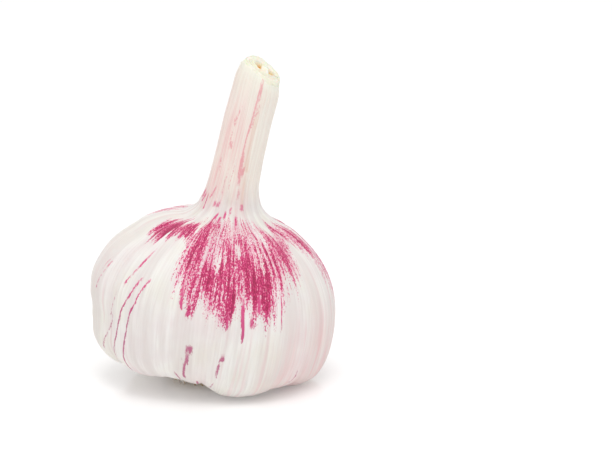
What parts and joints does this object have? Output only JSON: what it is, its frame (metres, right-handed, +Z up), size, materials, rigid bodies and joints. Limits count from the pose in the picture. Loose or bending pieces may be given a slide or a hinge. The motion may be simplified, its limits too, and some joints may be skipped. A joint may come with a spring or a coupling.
{
  "type": "garlic bulb",
  "caption": "Whole garlic bulb with a leaning cut neck: papery skin over a ring of cloves, standing on its root plate.",
  "frame": {"origin": "middle of the root plate's flat underside, which the bulb stands on", "axes": "+Z up; the neck leans towards +X; -Y is the front"},
  "size_m": [0.0634, 0.0617, 0.0863],
  "materials": {
    "papery_skin": "silky dry papery skin, ivory with magenta streaks",
    "neck_sheath": "matt fibrous leaf sheath",
    "flower_stalk": "matt pithy stalk",
    "root_plate": "rough corky plate",
    "clove": "smooth satin clove skin"
  },
  "bodies": {
    "root": {"outer_skin": "papery_skin", "inner_sheath": "neck_sheath", "flower_stalk": "flower_stalk", "root_plate": "root_plate", "clove_1": "clove", "clove_2": "clove", "clove_3": "clove", "clove_4": "clove", "clove_5": "clove", "clove_6": "clove", "clove_7": "clove", "clove_8": "clove"}
  },
  "joints": []
}
